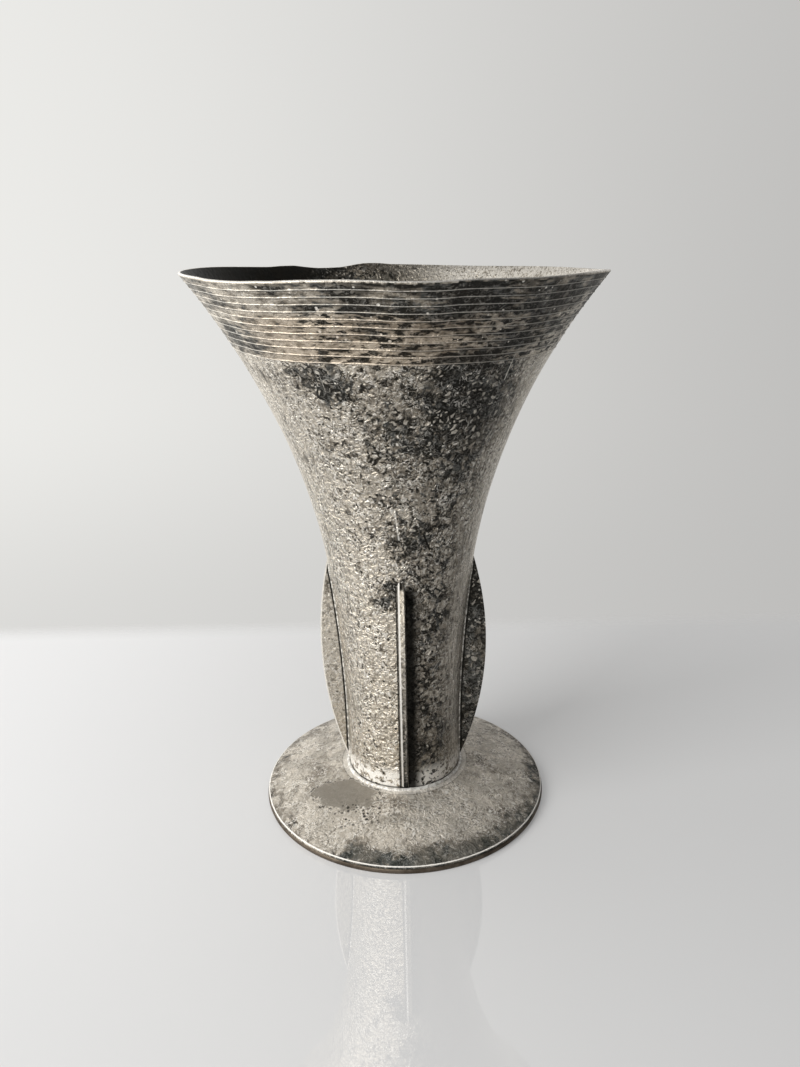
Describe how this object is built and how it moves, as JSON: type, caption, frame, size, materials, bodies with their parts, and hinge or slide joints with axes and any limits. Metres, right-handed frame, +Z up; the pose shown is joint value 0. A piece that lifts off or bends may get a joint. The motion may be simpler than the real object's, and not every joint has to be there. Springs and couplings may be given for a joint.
{
  "type": "trumpet vase",
  "caption": "Flaring metal trumpet vase with raised threads under the lip, curved fins up the stem and a low domed foot; holds cut flowers in water.",
  "frame": {"origin": "centre of the face that the foot's wire rests on, on the vase's axis", "axes": "+Z up along the vase's axis to the lip, -Y towards the front fin, +X towards the right fin"},
  "size_m": [0.142, 0.142, 0.2],
  "materials": {
    "body_plate": "aged silver plate on spun brass, mottled grey and black tarnish with pits and worn bright threads",
    "floor_plate": "dull silver plate, darkened by water",
    "foot_plate": "aged silver plate, matt warm grey with dark tarnish towards the edge",
    "rim_wire": "silver plate worn to a brownish grey",
    "fin_plate": "aged silver plate, mottled, bright along its arrises",
    "solder": "bright silver solder"
  },
  "bodies": {
    "root": {"trumpet_body": "body_plate", "body_floor": "floor_plate", "foot_shell": "foot_plate", "foot_rim_wire": "rim_wire", "base_solder": "solder", "floor_solder": "solder", "fin_right": "fin_plate", "fin_back": "fin_plate", "fin_left": "fin_plate", "fin_front": "fin_plate", "fin_solder_right": "solder", "fin_solder_back": "solder", "fin_solder_left": "solder", "fin_solder_front": "solder"}
  },
  "joints": []
}
